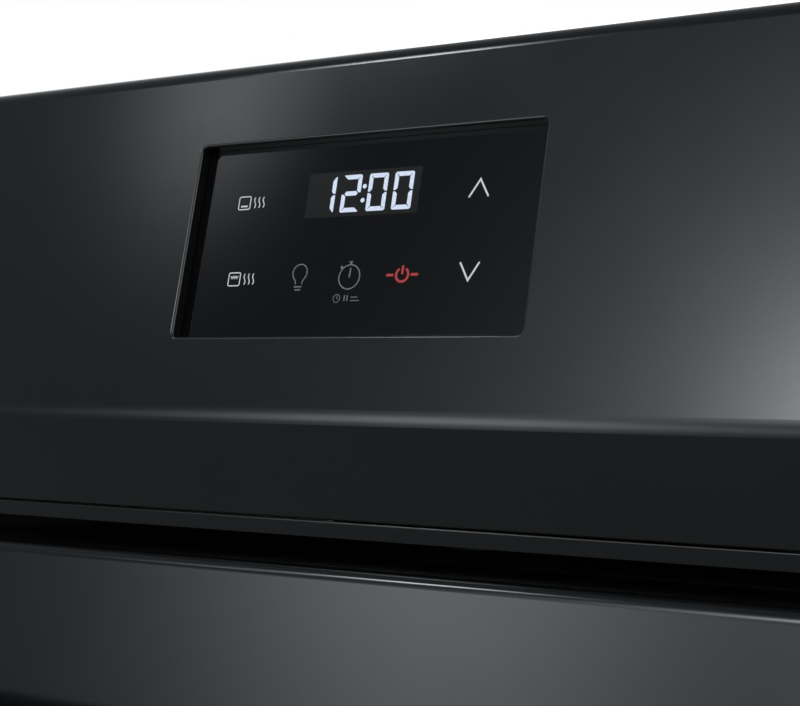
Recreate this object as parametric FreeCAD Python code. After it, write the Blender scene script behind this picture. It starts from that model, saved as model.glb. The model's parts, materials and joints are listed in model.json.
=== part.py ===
"""Built-in electric wall oven, 24 inch class, as separate pieces.

Frame: X across the width (0 at the centre), -Y towards the room, +Z up.
Y = 0 is the face of the cabinet and Z = 0 is the underside of the base.
All lengths are in millimetres.
"""
import FreeCAD, Part
import math
import os

V = FreeCAD.Vector
UP = V(0, 0, 1)
ALONG_X = V(1, 0, 0)
ALONG_Y = V(0, 1, 0)

# ---- driving dimensions ----------------------------------------------------
SHEET = 1.2                 # folded steel sheet
FIT = 0.2                   # gap between neighbouring folded sheets
FRONT_HALF = 303.0          # half the width of the visible front
BODY_HALF = 278.0           # half the width of the casing
BODY_TOP = 710.0
BODY_BACK = 570.4
CASE_REAR = BODY_BACK - SHEET - FIT
BASE_FRONT = -18.0
BASE_HALF = BODY_HALF - SHEET - FIT
BASE_WALL = 20.0            # height of the pan's upturned sides
CASE_FRONT = -2.0
SIDE_FLANGE = 8.3
PRESS_DEPTH = 3.0           # depth of the stiffening fields pressed into the casing
PRESS_SLOPE = 6.0
PRESS_CORNER = 22.0

# casing screws
SCREW_HEAD_R = 3.8
SCREW_HEAD = 2.2
SCREW_DOME = 1.3
SCREW_R = 1.9
SCREW_LENGTH = 6.0
SCREW_HOLE_R = 2.1
SCREW_X = BODY_HALF - SHEET - SIDE_FLANGE / 2
FRAME_SCREW_Z = (140.0, 260.0, 380.0, 500.0)
BACK_SCREW_Z = (60.0, 260.0, 460.0, 680.0)
TOP_SCREW_Y = (60.0, 280.0, 520.0)
BASE_SCREW_Y = (60.0, 220.0, 400.0, 530.0)
BASE_SCREW_Z = 11.0
DOOR_SCREW_X = 271.4
DOOR_SCREW_Z = (150.0, 300.0, 450.0)
DOOR_SCREW_LENGTH = 3.6

# door
DOOR_HALF = 299.0
DOOR_BOTTOM = 74.0
DOOR_TOP = 543.0
DOOR_FRONT = -56.0
DOOR_REAR = -9.0
DOOR_SPLIT = -24.0          # where the front panel ends and the liner begins
SKIN = 1.5
LINER_HALF = 282.0
PIVOT_Y = -32.0
PIVOT_Z = 82.0

# window in the door
WINDOW_HALF = 203.0
WINDOW_LOW = 191.0
WINDOW_HIGH = 407.0
WINDOW_CORNER = 12.0
WINDOW_ROLL = 0.9           # rounding of the opening's front edge

# control fascia above the door
AIR_GAP = 10.0              # open slot between door and fascia
STRIP_HEIGHT = 6.4
SEAM = 0.5
LIP_WALL = 2.0
BAND_HEIGHT = 38.0          # undercut band below the bend
BAND_SET_BACK = 9.5
FACE_LENGTH = 142.04        # sloping face, from the bend to the top
FACE_LEAN = 14.2            # degrees from vertical
BEND_Y = -59.5
TOP_RADIUS = 7.0
BEND_RADIUS = 12.0
LOW_RADIUS = 1.0
STRIP_BOTTOM = DOOR_TOP + AIR_GAP
BAND_BOTTOM = STRIP_BOTTOM + STRIP_HEIGHT + SEAM
BEND_Z = BAND_BOTTOM + BAND_HEIGHT
LEAN = math.radians(FACE_LEAN)
FACE_TOP_Y = BEND_Y + FACE_LENGTH * math.sin(LEAN)
FACE_TOP_Z = BEND_Z + FACE_LENGTH * math.cos(LEAN)

# control window, in the plane of the sloping face
PANEL_HALF = 77.6
PANEL_LOW = 30.5            # up the slope from the bend
PANEL_HIGH = 108.1
PANEL_CORNER = 2.2
PANEL_WALL = 5.2            # depth of the turned-in edge
PANEL_ROLL = 1.1            # rounding of the window's front edge
GLASS_DEPTH = 5.5
GLASS_THICK = 3.0
GLASS_MARGIN = 6.5
DISPLAY_LEFT = -26.0
DISPLAY_RIGHT = 24.8
DISPLAY_LOW = 77.9
DISPLAY_HIGH = 95.8
CARRIER_RIM = 7.0           # tray wall around the glass
CARRIER_HALF = PANEL_HALF + GLASS_MARGIN + CARRIER_RIM
CARRIER_BACK = 23.5
BOARD_DEPTH = 17.5

# handle
HANDLE_Y = -96.0
HANDLE_Z = 459.0
HANDLE_R = 10.0
HANDLE_HALF = 262.0
POST_X = 228.0

# oven cavity
CAV_HALF = 225.0
CAV_FLOOR = 122.0
CAV_ROOF = 512.0
CAV_BACK = 468.0
CAV_CORNER = 18.0
CAV_SHEET = 1.5
FLANGE_FRONT = -3.6
FASCIA_BACK = FLANGE_FRONT - 0.4
LEDGE_TOPS = (197.0, 287.0, 377.0)
LEDGE_DEPTH = 12.0
LEDGE_START = 20.0
LEDGE_END = 455.0
LAMP_X = -150.0
LAMP_Z = 446.0
SENSOR_X = 205.0
SENSOR_Z = 478.0
BAKE_Z = 150.0
BROIL_Z = 482.0
ELEMENT_R = 3.6
LEAD_X = 26.0
LEAD_END = 514.0
VENT_Y = 45.0
VENT_R = 15.0
WOOL_REAR = 505.0

# racks
RACK_LEVELS = {"rack_lower": LEDGE_TOPS[0], "rack_upper": LEDGE_TOPS[2]}
RACK_HALF = 217.0
RACK_FRONT = 14.0
RACK_REAR = 448.0
RACK_FRAME_R = 3.0
RACK_WIRE_R = 1.75
RACK_WIRES = 15
RACK_WIRE_LIFT = 3.1

# hinges
HINGE_X = 262.0
CLAW_THICK = 3.0
CLAW_HALF_HEIGHT = 7.0
PIN_R = 4.0
PIN_FIT = 0.05

# cooling air
AIR_SLOT_HALF = 232.0       # long slot in the front frame, above the door
AIR_SLOT_LOW = 541.4
AIR_SLOT_HIGH = 551.0
DUCT_LOW = 540.0
DUCT_HIGH = 552.6
DUCT_FRONT_HALF = 236.0
DUCT_REAR_HALF = 112.0
DUCT_REAR = 104.0
HOUSING_REAR = 196.0
HOUSING_TOP = 664.0

# cooling blower
BLOWER_Y = 150.0
BLOWER_Z = 614.0
WHEEL_R = 28.0
WHEEL_HALF = 100.0
WHEEL_BLADES = 24
SHAFT_R = 3.0
SHAFT_FIT = 0.05

# mounts
FIXING_X = 290.5
FIXING_LOW = 160.0
FIXING_HIGH = 480.0
FIXING_R = 2.6
CONDUIT_X = 180.0
CONDUIT_Z = 660.0
CONDUIT_R = 11.0

# door switch
SWITCH_X = 262.0
SWITCH_Z = 522.0
PLUNGER_R = 3.0
PLUNGER_FIT = 0.06


# ---- shape helpers -----------------------------------------------------------
def block(x0, x1, y0, y1, z0, z1):
    """Box between two corners."""
    return Part.makeBox(x1 - x0, y1 - y0, z1 - z0, V(x0, y0, z0))


def rod_x(radius, x0, x1, y, z):
    """Round bar along X."""
    return Part.makeCylinder(radius, x1 - x0, V(x0, y, z), ALONG_X)


def rod_y(radius, y0, y1, x, z):
    """Round bar along Y."""
    return Part.makeCylinder(radius, y1 - y0, V(x, y0, z), ALONG_Y)


def rod_z(radius, z0, z1, x, y):
    """Round bar along Z."""
    return Part.makeCylinder(radius, z1 - z0, V(x, y, z0), UP)


def flipped(shape):
    """The same piece on the other side of the centre plane."""
    return shape.mirror(V(0, 0, 0), ALONG_X)


def joined(shapes):
    """One solid from several that touch or overlap."""
    shapes = list(shapes)
    result = shapes[0].multiFuse(shapes[1:])
    return result.removeSplitter()


def run_edges(points, bends, closed):
    """Edges of a run of straight lines whose corners are bent to the given radii."""
    count = len(points)
    starts = []
    ends = []
    arcs = []
    for i, corner in enumerate(points):
        radius = bends[i]
        if radius == 0 or (not closed and i in (0, count - 1)):
            starts.append(corner)
            ends.append(corner)
            arcs.append(None)
            continue
        back = (points[i - 1] - corner).normalize()
        ahead = (points[(i + 1) % count] - corner).normalize()
        half = back.getAngle(ahead) / 2
        middle = (back + ahead).normalize()
        reach = radius / math.tan(half)
        starts.append(corner + back * reach)
        ends.append(corner + ahead * reach)
        crown = corner + middle * (radius / math.sin(half) - radius)
        arcs.append(Part.Arc(starts[-1], crown, ends[-1]).toShape())
    edges = []
    for i in range(count):
        if arcs[i] is not None:
            edges.append(arcs[i])
        if i == count - 1 and not closed:
            break
        following = (i + 1) % count
        if (starts[following] - ends[i]).Length > 1e-6:
            edges.append(Part.makeLine(ends[i], starts[following]))
    return edges


def profile_x(points, bends, x0, x1):
    """Solid of a closed Y-Z outline, drawn out along X."""
    corners = [V(x0, y, z) for y, z in points]
    face = Part.Face(Part.Wire(run_edges(corners, bends, True)))
    return face.extrude(V(x1 - x0, 0, 0))


def plate(x0, x1, z0, z1, y0, y1, corner):
    """Upright plate with rounded corners, facing the room."""
    corners = [V(x0, y0, z0), V(x1, y0, z0), V(x1, y0, z1), V(x0, y0, z1)]
    face = Part.Face(Part.Wire(run_edges(corners, [corner] * 4, True)))
    return face.extrude(V(0, y1 - y0, 0))


def wire_run(points, radius, bend, closed=False):
    """Round wire bent along a run of points."""
    bends = [bend] * len(points)
    path = Part.Wire(run_edges(points, bends, closed))
    first = path.OrderedEdges[0]
    start = first.valueAt(first.FirstParameter)
    heading = first.tangentAt(first.FirstParameter)
    if first.Orientation == "Reversed":
        start = first.valueAt(first.LastParameter)
        heading = first.tangentAt(first.LastParameter)
    section = Part.Wire(Part.makeCircle(radius, start, heading))
    return path.makePipeShell([section], True, False)


def on_face(shape):
    """Moves a piece from the plane of the sloping face to its place.

    Before the move X runs across, Y goes in from the face and Z up the slope from the bend.
    """
    moved = shape.copy()
    moved.rotate(V(0, 0, 0), ALONG_X, -FACE_LEAN)
    moved.translate(V(0, BEND_Y, BEND_Z))
    return moved


def front_edges(shape, y):
    """Edges of a box that lie in the plane at y."""
    return [e for e in shape.Edges if all(abs(v.Y - y) < 0.01 for v in e.Vertexes)]


def slots(count, pitch, x_middle, width, y0, y1, z0, z1):
    """Row of equal upright cutters along X."""
    first = x_middle - pitch * (count - 1) / 2
    cutters = []
    for i in range(count):
        x = first + i * pitch
        cutters.append(block(x - width / 2, x + width / 2, y0, y1, z0, z1))
    return Part.makeCompound(cutters)


def pressed_field(wall, outward, low, high):
    """Sheet wall with a shallow rectangular field pressed into it from outside.

    low and high are opposite corners of the field on the outer surface.
    """
    def frustum(lift, grow):
        wide = field_ring(low, high, outward, lift, -grow)
        narrow = field_ring(low, high, outward, lift - PRESS_DEPTH, PRESS_SLOPE - grow)
        return Part.makeLoft([wide, narrow], True, True)

    return wall.fuse(frustum(-SHEET, SHEET * 0.7)).cut(frustum(0, 0))


def field_ring(low, high, outward, lift, shrink):
    """Rounded rectangle in the plane of a wall, lifted along its outward direction."""
    shift = outward * lift
    middle = (low + high) * 0.5
    across = ALONG_Y if abs(outward.x) > 0.5 else ALONG_X
    upward = ALONG_Y if abs(outward.z) > 0.5 else UP
    wide = abs((high - low).dot(across)) / 2 - shrink
    tall = abs((high - low).dot(upward)) / 2 - shrink
    corners = []
    for a, b in ((-1, -1), (1, -1), (1, 1), (-1, 1)):
        corners.append(middle + across * (a * wide) + upward * (b * tall) + shift)
    return Part.Wire(run_edges(corners, [PRESS_CORNER - shrink] * 4, True))


def screw(place, outward, length):
    """Pan-head screw with a cross recess; its head stands on the surface at place."""
    head = Part.makeCylinder(SCREW_HEAD_R, SCREW_HEAD)
    crown = [e for e in head.Edges if len(e.Vertexes) == 1 and e.Vertexes[0].Z > SCREW_HEAD / 2]
    head = head.makeFillet(SCREW_DOME, crown)
    shank = Part.makeCylinder(SCREW_R, length + 0.5, V(0, 0, -length))
    pin = head.fuse(shank)
    arm = 2.1
    half = 0.45
    floor = SCREW_HEAD - 1.3
    pin = pin.cut(block(-arm, arm, -half, half, floor, SCREW_HEAD + 1))
    pin = pin.cut(block(-half, half, -arm, arm, floor, SCREW_HEAD + 1))
    pin.Placement = FreeCAD.Placement(place, FreeCAD.Rotation(UP, outward))
    return pin


# ---- casing --------------------------------------------------------------------
def base_pan():
    """Flat base with upturned sides, the face that the oven stands on."""
    floor = block(-BASE_HALF, BASE_HALF, BASE_FRONT, CASE_REAR, 0, SHEET)
    wall = block(BASE_HALF - SHEET, BASE_HALF, 5, CASE_REAR - 10, 0, BASE_WALL)
    pan_body = joined([floor, wall, flipped(wall)])
    for y in BASE_SCREW_Y:
        pan_body = pan_body.cut(rod_x(SCREW_HOLE_R, -BODY_HALF, BODY_HALF, y, BASE_SCREW_Z))
    return pan_body


def side_panel():
    """Right-hand casing side with its front, rear and top edges turned in and a pressed field."""
    inner = BODY_HALF - SHEET
    low = SHEET + FIT
    high = BODY_TOP - SHEET - FIT
    wall = block(inner, BODY_HALF, CASE_FRONT, CASE_REAR, low, high)
    wall = pressed_field(wall, ALONG_X, V(BODY_HALF, 60, 70), V(BODY_HALF, 510, 560))
    front = block(inner - SIDE_FLANGE, inner, CASE_FRONT, CASE_FRONT + SHEET, low, high)
    rear = block(inner - SIDE_FLANGE, inner, CASE_REAR - SHEET, CASE_REAR, low, high)
    top = block(inner - SIDE_FLANGE, inner, CASE_FRONT, CASE_REAR, high - SHEET, high)
    panel = joined([wall, front, rear, top])
    for row in range(4):
        z = 600 + row * 22
        panel = panel.cut(block(inner - 1, BODY_HALF + 1, 330, 470, z, z + 7))
    for z in FRAME_SCREW_Z:
        panel = panel.cut(rod_y(SCREW_HOLE_R, CASE_FRONT - 1, CASE_FRONT + 3, SCREW_X, z))
    for z in BACK_SCREW_Z:
        panel = panel.cut(rod_y(SCREW_HOLE_R, CASE_REAR - 3, CASE_REAR + 1, SCREW_X, z))
    for y in TOP_SCREW_Y:
        panel = panel.cut(rod_z(SCREW_HOLE_R, high - 3, high + 1, SCREW_X, y))
    for y in BASE_SCREW_Y:
        panel = panel.cut(rod_x(SCREW_HOLE_R, inner - 1, BODY_HALF + 1, y, BASE_SCREW_Z))
    return panel


def back_panel():
    """Rear cover with two fields of air slots, a pressed field and the conduit hole."""
    low = SHEET + FIT
    high = BODY_TOP - SHEET - FIT
    panel = block(-BASE_HALF, BASE_HALF, BODY_BACK - SHEET, BODY_BACK, low, high)
    panel = pressed_field(panel, ALONG_Y, V(-225, BODY_BACK, 100), V(225, BODY_BACK, 560))
    y0 = BODY_BACK - SHEET - 1
    y1 = BODY_BACK + 1
    panel = panel.cut(slots(16, 14, -120, 5, y0, y1, 610, 670))
    panel = panel.cut(slots(26, 16, 0, 6, y0, y1, 24, 60))
    for side in (-1, 1):
        for z in BACK_SCREW_Z:
            panel = panel.cut(rod_y(SCREW_HOLE_R, y0, y1, side * SCREW_X, z))
    return panel.cut(rod_y(CONDUIT_R, y0, y1, CONDUIT_X, CONDUIT_Z))


def top_cover():
    """Lid over the electronics bay, with a pressed field and air slots near the rear."""
    cover = block(-BODY_HALF, BODY_HALF, CASE_FRONT, BODY_BACK, BODY_TOP - SHEET, BODY_TOP)
    cover = pressed_field(cover, UP, V(-230, 60, BODY_TOP), V(230, 340, BODY_TOP))
    z0 = BODY_TOP - SHEET - 1
    z1 = BODY_TOP + 1
    cover = cover.cut(slots(24, 18, 0, 7, 380, 470, z0, z1))
    for side in (-1, 1):
        for y in TOP_SCREW_Y:
            cover = cover.cut(rod_z(SCREW_HOLE_R, z0, z1, side * SCREW_X, y))
    return cover


def front_frame():
    """Enamelled plate around the cavity mouth, pierced for hinges, switch, screws and cooling air."""
    half = BODY_HALF - 0.4
    frame = block(-half, half, FLANGE_FRONT, FLANGE_FRONT + 1.4, 70.4, STRIP_BOTTOM)
    y0 = FLANGE_FRONT - 1
    y1 = FLANGE_FRONT + 3
    frame = frame.cut(plate(-247, 247, 100, 534, y0, y1, 24))
    frame = frame.cut(plate(-AIR_SLOT_HALF, AIR_SLOT_HALF, AIR_SLOT_LOW, AIR_SLOT_HIGH, y0, y1, 3))
    for side in (-1, 1):
        x = side * HINGE_X
        frame = frame.cut(block(x - 5, x + 5, y0, y1, PIVOT_Z - 10, PIVOT_Z + 12))
        for z in FRAME_SCREW_Z:
            frame = frame.cut(rod_y(SCREW_HOLE_R, y0, y1, side * SCREW_X, z))
    return frame.cut(rod_y(4, y0, y1, SWITCH_X, SWITCH_Z))


def side_trim():
    """Right-hand flange that lies on the cabinet face and takes the fixing screws."""
    trim = block(BODY_HALF + FIT, FRONT_HALF, FLANGE_FRONT, 0, 3, STRIP_BOTTOM)
    outer = [e for e in trim.Edges
             if all(abs(v.X - FRONT_HALF) < 0.01 and abs(v.Y - FLANGE_FRONT) < 0.01
                    for v in e.Vertexes)]
    trim = trim.makeFillet(1.5, outer)
    for z in (FIXING_LOW, FIXING_HIGH):
        trim = trim.cut(rod_y(FIXING_R, FLANGE_FRONT - 1, 1, FIXING_X, z))
    return trim


def bottom_trim():
    """Folded louvre strip below the door."""
    half = FRONT_HALF - 26
    outer = [(-20, 3), (-20, 70), (FLANGE_FRONT - 0.4, 70), (FLANGE_FRONT - 0.4, 3)]
    inner = [(-20 + SHEET, 3 + SHEET), (-20 + SHEET, 70 - SHEET), (0, 70 - SHEET), (0, 3 + SHEET)]
    shell = profile_x(outer, [3, 3, 0, 0], -half, half)
    shell = shell.cut(profile_x(inner, [1.8, 1.8, 0, 0], -half - 1, half + 1))
    for row in range(3):
        z = 20 + row * 13
        shell = shell.cut(slots(12, 42, 0, 32, -22, -16, z, z + 5))
    return shell


# ---- cavity ----------------------------------------------------------------------
def cavity_outer(grow, y0, y1):
    """Outer block of the cavity box, grown on all four sides."""
    wall = CAV_SHEET + grow
    return plate(-CAV_HALF - wall, CAV_HALF + wall, CAV_FLOOR - wall, CAV_ROOF + wall,
                 y0, y1, CAV_CORNER + wall)


def oven_liner():
    """Enamelled cavity box with a front flange and pressed rack ledges."""
    back = CAV_BACK + CAV_SHEET
    box = cavity_outer(0, FLANGE_FRONT, back)
    flange = plate(-246.5, 246.5, 100.5, 533.5, FLANGE_FRONT, FLANGE_FRONT + CAV_SHEET, 23.5)
    hollow = plate(-CAV_HALF, CAV_HALF, CAV_FLOOR, CAV_ROOF, FLANGE_FRONT - 1, CAV_BACK, CAV_CORNER)
    liner = box.fuse(flange).cut(hollow)
    for top in LEDGE_TOPS:
        root = CAV_HALF + 0.5
        nose = CAV_HALF - LEDGE_DEPTH
        corners = [V(root, LEDGE_START, top - 14), V(nose, LEDGE_START, top - 6),
                   V(nose, LEDGE_START, top), V(root, LEDGE_START, top)]
        face = Part.Face(Part.Wire(run_edges(corners, [0, 2.5, 2.5, 0], True)))
        ledge = face.extrude(V(0, LEDGE_END - LEDGE_START, 0))
        liner = liner.fuse(ledge).fuse(flipped(ledge))
    y0 = CAV_BACK - 1
    y1 = back + 1
    liner = liner.cut(rod_y(30, y0, y1, LAMP_X, LAMP_Z))
    liner = liner.cut(rod_y(4, y0, y1, SENSOR_X, SENSOR_Z))
    for z in (BAKE_Z, BROIL_Z):
        for side in (-1, 1):
            liner = liner.cut(rod_y(ELEMENT_R + 0.8, y0, y1, side * LEAD_X, z))
    liner = liner.cut(rod_z(VENT_R, CAV_ROOF - 1, CAV_ROOF + 3, 0, VENT_Y))
    return liner.removeSplitter()


def insulation_wrap():
    """Mineral-wool blanket around the cavity."""
    wool = plate(-254, 254, 94, 538.6, 2, WOOL_REAR, 20)
    wool = wool.cut(cavity_outer(0.3, 0, CAV_BACK + CAV_SHEET + 0.3))
    y0 = CAV_BACK
    wool = wool.cut(rod_y(36, y0, WOOL_REAR + 1, LAMP_X, LAMP_Z))
    wool = wool.cut(rod_y(6, y0, WOOL_REAR + 1, SENSOR_X, SENSOR_Z))
    for z in (BAKE_Z, BROIL_Z):
        wool = wool.cut(block(-50, 50, y0, WOOL_REAR + 1, z - 13, z + 13))
    return wool.cut(rod_z(VENT_R + 1.5, CAV_ROOF, 540, 0, VENT_Y))


def door_gasket():
    """Woven seal around the cavity mouth."""
    y = -6.25
    points = [V(-236, y, 111), V(236, y, 111), V(236, y, 523), V(-236, y, 523)]
    return wire_run(points, 2.5, 18, True)


def element_leads(z):
    """The two straight ends of a heating element, through the back wall."""
    return [rod_y(1.6, LEAD_END, LEAD_END + 14, side * LEAD_X, z) for side in (-1, 1)]


def bake_element():
    """Sheathed heating rod near the cavity floor, with its rear plate and terminals."""
    z = BAKE_Z
    points = [V(-LEAD_X, LEAD_END, z), V(-LEAD_X, 120, z), V(-85, 120, z), V(-85, 400, z), V(-180, 400, z),
              V(-180, 52, z), V(180, 52, z), V(180, 400, z), V(85, 400, z), V(85, 120, z),
              V(LEAD_X, 120, z), V(LEAD_X, LEAD_END, z)]
    rod = wire_run(points, ELEMENT_R, 22)
    holder = block(-44, 44, CAV_BACK - 1.4, CAV_BACK - 0.2, z - 10, z + 10)
    feet = []
    for x in (-150, 150):
        feet.append(block(x - 1, x + 1, 50, 54, CAV_FLOOR + 0.3, z))
    return joined([rod, holder] + feet + element_leads(z))


def broil_element():
    """Sheathed heating rod under the cavity roof, hung from three straps."""
    z = BROIL_Z
    turn_y = 60
    loop = [V(-LEAD_X, LEAD_END, z), V(-LEAD_X, 110, z), V(-78, 110, z), V(-78, 405, z), V(-130, 405, z),
            V(-130, 110, z), V(-182, 110, z), V(-182, turn_y, z), V(182, turn_y, z), V(182, 110, z),
            V(130, 110, z), V(130, 405, z), V(78, 405, z), V(78, 110, z), V(LEAD_X, 110, z),
            V(LEAD_X, LEAD_END, z)]
    rod = wire_run(loop, ELEMENT_R, 18)
    holder = block(-44, 44, CAV_BACK - 1.4, CAV_BACK - 0.2, z - 10, z + 10)
    straps = []
    for x, y in ((-104, 405), (104, 405), (0, turn_y)):
        straps.append(block(x - 5, x + 5, y - 1, y + 1, z - 5, CAV_ROOF - 0.3))
    return joined([rod, holder] + straps + element_leads(z))


def temperature_sensor():
    """Thin probe through the back wall, on a small plate."""
    tip = rod_y(3, 360, 512, SENSOR_X, SENSOR_Z)
    tip = tip.makeFillet(2.5, front_edges(tip, 360))
    rear = CAV_BACK - 0.2
    holder = block(SENSOR_X - 9, SENSOR_X + 9, rear - SHEET, rear, SENSOR_Z - 14, SENSOR_Z + 14)
    return joined([tip, holder])


def lamp_housing():
    """Cup behind the cavity wall that holds the bulb."""
    cup = rod_y(29.5, CAV_BACK - 0.2, 508, LAMP_X, LAMP_Z)
    cup = cup.cut(rod_y(28, CAV_BACK - 1, 500, LAMP_X, LAMP_Z))
    socket = rod_y(14, 488, 500.5, LAMP_X, LAMP_Z)
    return joined([cup, socket]).cut(rod_y(8.1, 486, 499, LAMP_X, LAMP_Z))


def lamp_bulb():
    """Small round bulb with its metal base."""
    base = rod_y(8, 484, 498.8, LAMP_X, LAMP_Z)
    globe = Part.makeSphere(11, V(LAMP_X, 476, LAMP_Z))
    return joined([base, globe])


def lamp_lens():
    """Heat-proof glass cover, open at the back."""
    shell = rod_y(33, 456, CAV_BACK - 0.3, LAMP_X, LAMP_Z)
    shell = shell.makeFillet(9, front_edges(shell, 456))
    return shell.cut(rod_y(28, 460, CAV_BACK + 1, LAMP_X, LAMP_Z))


def oven_vent_tube():
    """Short flue from the cavity roof into the cooling-air duct."""
    tube = rod_z(VENT_R - 0.3, CAV_ROOF + 0.2, DUCT_LOW - 0.2, 0, VENT_Y)
    return tube.cut(rod_z(VENT_R - 1.5, CAV_ROOF - 1, DUCT_LOW + 1, 0, VENT_Y))


# ---- racks -------------------------------------------------------------------------
def rack(ledge_top):
    """Wire shelf lying on one pair of ledges: a bent frame, two cross bars and a row of wires."""
    z = ledge_top + 0.3 + RACK_FRAME_R
    corners = [V(-RACK_HALF, RACK_FRONT, z), V(RACK_HALF, RACK_FRONT, z),
               V(RACK_HALF, RACK_REAR, z), V(-RACK_HALF, RACK_REAR, z)]
    pieces = [wire_run(corners, RACK_FRAME_R, 14, True)]
    for y in (RACK_FRONT + 140, RACK_FRONT + 290):
        pieces.append(rod_x(RACK_FRAME_R, -RACK_HALF, RACK_HALF, y, z))
    pitch = 2 * (RACK_HALF - 17) / (RACK_WIRES - 1)
    for i in range(RACK_WIRES):
        x = -RACK_HALF + 17 + i * pitch
        pieces.append(rod_y(RACK_WIRE_R, RACK_FRONT - 1.3, RACK_REAR + 1.3, x, z + RACK_WIRE_LIFT))
    return joined(pieces)


# ---- cooling air and blower ----------------------------------------------------------
def air_duct():
    """Flat tapered duct from the blower to the slot above the door."""
    def funnel(y0, y1, front, rear, z0, z1):
        corners = [V(-front, y0, z0), V(front, y0, z0), V(rear, y1, z0), V(-rear, y1, z0), V(-front, y0, z0)]
        return Part.Face(Part.makePolygon(corners)).extrude(V(0, 0, z1 - z0))

    duct = funnel(-2, DUCT_REAR, DUCT_FRONT_HALF, DUCT_REAR_HALF, DUCT_LOW, DUCT_HIGH)
    hollow = funnel(-3, DUCT_REAR + 1, DUCT_FRONT_HALF - 1, DUCT_REAR_HALF - SHEET,
                    DUCT_LOW + 1, DUCT_HIGH - 1)
    return duct.cut(hollow).cut(rod_z(VENT_R - 1.5, DUCT_LOW - 1, DUCT_LOW + 2, 0, VENT_Y))


def blower_housing():
    """Rounded scroll casing with an inlet on top and its outlet low at the front."""
    y0 = DUCT_REAR + FIT
    outline = [(y0, DUCT_LOW), (y0, HOUSING_TOP), (HOUSING_REAR, HOUSING_TOP), (HOUSING_REAR, DUCT_LOW)]
    half = DUCT_REAR_HALF
    shell = profile_x(outline, [0, 30, 42, 42], -half, half)
    inner = [(y0 + 1.2, DUCT_LOW + 1.2), (y0 + 1.2, HOUSING_TOP - 1.2),
             (HOUSING_REAR - 1.2, HOUSING_TOP - 1.2), (HOUSING_REAR - 1.2, DUCT_LOW + 1.2)]
    shell = shell.cut(profile_x(inner, [0, 28.8, 40.8, 40.8], -half + 1.2, half - 1.2))
    shell = shell.cut(block(-half + 4, half - 4, y0 - 1, y0 + 3, DUCT_LOW + 1.2, DUCT_HIGH - 1.2))
    shell = shell.cut(slots(9, 22, 0, 15, BLOWER_Y - 18, BLOWER_Y + 4, HOUSING_TOP - 4, HOUSING_TOP + 2))
    return shell.cut(rod_x(SHAFT_R + 1.5, -half - 1, half + 1, BLOWER_Y, BLOWER_Z))


def blower_wheel():
    """Long drum of curved blades on a shaft."""
    shaft = rod_x(SHAFT_R, -DUCT_REAR_HALF - 6, DUCT_REAR_HALF + 24, BLOWER_Y, BLOWER_Z)
    pieces = [shaft]
    for x in (-WHEEL_HALF, -0.75, WHEEL_HALF - 1.5):
        pieces.append(rod_x(WHEEL_R, x, x + 1.5, BLOWER_Y, BLOWER_Z))
    blade_r = 7.0
    centre_z = BLOWER_Z + WHEEL_R - 6.5
    blade = rod_x(blade_r, -WHEEL_HALF, WHEEL_HALF, BLOWER_Y, centre_z)
    blade = blade.cut(rod_x(blade_r - 0.8, -WHEEL_HALF - 1, WHEEL_HALF + 1, BLOWER_Y, centre_z))
    keep = block(-WHEEL_HALF, WHEEL_HALF, BLOWER_Y + 2, BLOWER_Y + 9, centre_z - 1.5, centre_z + 5)
    blade = blade.common(keep)
    for i in range(WHEEL_BLADES):
        turned = blade.copy()
        turned.rotate(V(0, BLOWER_Y, BLOWER_Z), ALONG_X, 360.0 * i / WHEEL_BLADES)
        pieces.append(turned)
    return joined(pieces)


def blower_motor():
    """Shaded-pole motor: a coil block and a round can on the end of the housing."""
    x0 = DUCT_REAR_HALF + 0.6
    can = rod_x(26, x0, x0 + 20, BLOWER_Y, BLOWER_Z)
    core = block(x0 + 18, x0 + 40, BLOWER_Y - 34, BLOWER_Y + 34, BLOWER_Z - 30, BLOWER_Z + 30)
    coil = block(x0 + 12, x0 + 46, BLOWER_Y - 20, BLOWER_Y + 20, BLOWER_Z + 18, BLOWER_Z + 44)
    motor = joined([can, core, coil])
    return motor.cut(rod_x(SHAFT_R + SHAFT_FIT, x0 - 1, DUCT_REAR_HALF + 28, BLOWER_Y, BLOWER_Z))


# ---- control fascia -----------------------------------------------------------------
def fascia_outline(inset):
    """Y-Z outline of the fascia, drawn in on every side by the sheet thickness where asked."""
    band_lean = math.atan(BAND_SET_BACK / BAND_HEIGHT)
    face_in = inset / math.cos(LEAN)
    band_in = inset / math.cos(band_lean)
    top_z = FACE_TOP_Z - inset
    low_z = BAND_BOTTOM + inset
    bend_drop = (face_in - band_in) / (math.tan(LEAN) + math.tan(band_lean))
    bend_y = BEND_Y + face_in - bend_drop * math.tan(LEAN)
    top_y = BEND_Y + face_in + (top_z - BEND_Z) * math.tan(LEAN)
    low_y = BEND_Y + band_in + (BEND_Z - low_z) * math.tan(band_lean)
    rear = FASCIA_BACK - inset
    return [(rear, top_z), (top_y, top_z), (bend_y, BEND_Z - bend_drop), (low_y, low_z), (rear, low_z)]


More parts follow.
